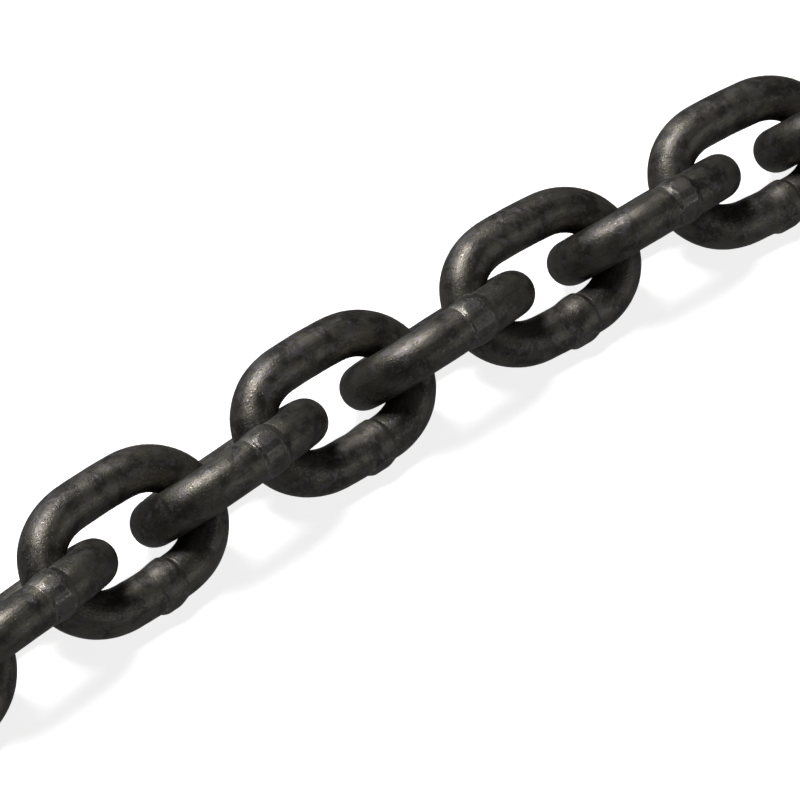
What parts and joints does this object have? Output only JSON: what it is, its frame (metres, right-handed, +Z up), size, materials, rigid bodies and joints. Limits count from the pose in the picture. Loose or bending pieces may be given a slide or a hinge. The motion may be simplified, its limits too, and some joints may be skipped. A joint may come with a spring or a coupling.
{
  "type": "welded short-link chain",
  "caption": "Cut length of welded short-link steel chain, black from the mill, lying along the floor with each link free to swing in the next; for lifting, lashing or securing.",
  "frame": {"origin": "on the floor, under the middle of the chain's bounding box", "axes": "+X along the chain, +Z up from the floor; links with an even number lean with their top limb towards +Y, and links with an odd number with it towards -Y"},
  "size_m": [0.9986, 0.0668, 0.0347],
  "materials": {
    "mill_scale": "satin"
  },
  "bodies": {
    "link_01": {"link_01": "mill_scale"},
    "link_02": {"link_02": "mill_scale"},
    "link_03": {"link_03": "mill_scale"},
    "link_04": {"link_04": "mill_scale"},
    "link_05": {"link_05": "mill_scale"},
    "link_06": {"link_06": "mill_scale"},
    "link_07": {"link_07": "mill_scale"},
    "link_08": {"link_08": "mill_scale"},
    "link_09": {"link_09": "mill_scale"},
    "link_10": {"link_10": "mill_scale"},
    "link_11": {"link_11": "mill_scale"},
    "link_12": {"link_12": "mill_scale"},
    "link_13": {"link_13": "mill_scale"},
    "link_14": {"link_14": "mill_scale"},
    "link_15": {"link_15": "mill_scale"},
    "link_16": {"link_16": "mill_scale"},
    "link_17": {"link_17": "mill_scale"},
    "link_18": {"link_18": "mill_scale"},
    "link_19": {"link_19": "mill_scale"},
    "link_20": {"link_20": "mill_scale"},
    "link_21": {"link_21": "mill_scale"},
    "link_22": {"link_22": "mill_scale"},
    "link_23": {"link_23": "mill_scale"},
    "link_24": {"link_24": "mill_scale"},
    "link_25": {"link_25": "mill_scale"}
  },
  "joints": [
    {"name": "link_02_swing", "type": "hinge", "parent": "link_01", "child": "link_02", "pos_m": [-0.44028, -0.01504, 0.01703], "axis": [-0.0197, 0.7068, -0.7071], "range_deg": [-110, 110]},
    {"name": "link_03_swing", "type": "hinge", "parent": "link_02", "child": "link_03", "pos_m": [-0.40128, -0.01542, 0.01769], "axis": [0.0029, 0.7071, 0.7071], "range_deg": [-110, 110]},
    {"name": "link_04_swing", "type": "hinge", "parent": "link_03", "child": "link_04", "pos_m": [-0.36241, -0.01201, 0.01703], "axis": [0.0524, -0.7052, 0.7071], "range_deg": [-110, 110]},
    {"name": "link_05_swing", "type": "hinge", "parent": "link_04", "child": "link_05", "pos_m": [-0.32343, -0.01077, 0.01769], "axis": [0.0269, -0.7066, -0.7071], "range_deg": [-110, 110]},
    {"name": "link_06_swing", "type": "hinge", "parent": "link_05", "child": "link_06", "pos_m": [-0.28471, -0.00601, 0.01703], "axis": [-0.0775, 0.7028, -0.7071], "range_deg": [-110, 110]},
    {"name": "link_07_swing", "type": "hinge", "parent": "link_06", "child": "link_07", "pos_m": [-0.24577, -0.00377, 0.01769], "axis": [-0.046, 0.7056, 0.7071], "range_deg": [-110, 110]},
    {"name": "link_08_swing", "type": "hinge", "parent": "link_07", "child": "link_08", "pos_m": [-0.20713, 0.00157, 0.01703], "axis": [0.0893, -0.7014, 0.7071], "range_deg": [-110, 110]},
    {"name": "link_09_swing", "type": "hinge", "parent": "link_08", "child": "link_09", "pos_m": [-0.16819, 0.00395, 0.01769], "axis": [0.05, -0.7053, -0.7071], "range_deg": [-110, 110]},
    {"name": "link_10_swing", "type": "hinge", "parent": "link_09", "child": "link_10", "pos_m": [-0.12951, 0.00899, 0.01703], "axis": [-0.0853, 0.7019, -0.7071], "range_deg": [-110, 110]},
    {"name": "link_11_swing", "type": "hinge", "parent": "link_10", "child": "link_11", "pos_m": [-0.09054, 0.01064, 0.01769], "axis": [-0.0381, 0.7061, 0.7071], "range_deg": [-110, 110]},
    {"name": "link_12_swing", "type": "hinge", "parent": "link_11", "child": "link_12", "pos_m": [-0.05173, 0.01457, 0.01703], "axis": [0.0663, -0.704, 0.7071], "range_deg": [-110, 110]},
    {"name": "link_13_swing", "type": "hinge", "parent": "link_12", "child": "link_13", "pos_m": [-0.01272, 0.01477, 0.01769], "axis": [0.0129, -0.707, -0.7071], "range_deg": [-110, 110]},
    {"name": "link_14_swing", "type": "hinge", "parent": "link_13", "child": "link_14", "pos_m": [0.02622, 0.01702, 0.01703], "axis": [-0.0366, 0.7062, -0.7071], "range_deg": [-110, 110]},
    {"name": "link_15_swing", "type": "hinge", "parent": "link_14", "child": "link_15", "pos_m": [0.0652, 0.01539, 0.01769], "axis": [0.0197, 0.7068, 0.7071], "range_deg": [-110, 110]},
    {"name": "link_16_swing", "type": "hinge", "parent": "link_15", "child": "link_16", "pos_m": [0.1042, 0.01577, 0.01703], "axis": [0.0029, -0.7071, 0.7071], "range_deg": [-110, 110]},
    {"name": "link_17_swing", "type": "hinge", "parent": "link_16", "child": "link_17", "pos_m": [0.14306, 0.01235, 0.01769], "axis": [-0.0524, -0.7052, -0.7071], "range_deg": [-110, 110]},
    {"name": "link_18_swing", "type": "hinge", "parent": "link_17", "child": "link_18", "pos_m": [0.18205, 0.01111, 0.01703], "axis": [0.0269, 0.7066, -0.7071], "range_deg": [-110, 110]},
    {"name": "link_19_swing", "type": "hinge", "parent": "link_18", "child": "link_19", "pos_m": [0.22077, 0.00635, 0.01769], "axis": [0.0775, 0.7028, 0.7071], "range_deg": [-110, 110]},
    {"name": "link_20_swing", "type": "hinge", "parent": "link_19", "child": "link_20", "pos_m": [0.25971, 0.00412, 0.01703], "axis": [-0.046, -0.7056, 0.7071], "range_deg": [-110, 110]},
    {"name": "link_21_swing", "type": "hinge", "parent": "link_20", "child": "link_21", "pos_m": [0.29835, -0.00122, 0.01769], "axis": [-0.0893, -0.7014, -0.7071], "range_deg": [-110, 110]},
    {"name": "link_22_swing", "type": "hinge", "parent": "link_21", "child": "link_22", "pos_m": [0.33728, -0.00361, 0.01703], "axis": [0.05, 0.7053, -0.7071], "range_deg": [-110, 110]},
    {"name": "link_23_swing", "type": "hinge", "parent": "link_22", "child": "link_23", "pos_m": [0.37596, -0.00865, 0.01769], "axis": [0.0853, 0.7019, 0.7071], "range_deg": [-110, 110]},
    {"name": "link_24_swing", "type": "hinge", "parent": "link_23", "child": "link_24", "pos_m": [0.41494, -0.0103, 0.01703], "axis": [-0.0381, -0.7061, 0.7071], "range_deg": [-110, 110]},
    {"name": "link_25_swing", "type": "hinge", "parent": "link_24", "child": "link_25", "pos_m": [0.45374, -0.01423, 0.01769], "axis": [-0.0663, -0.704, -0.7071], "range_deg": [-110, 110]}
  ]
}
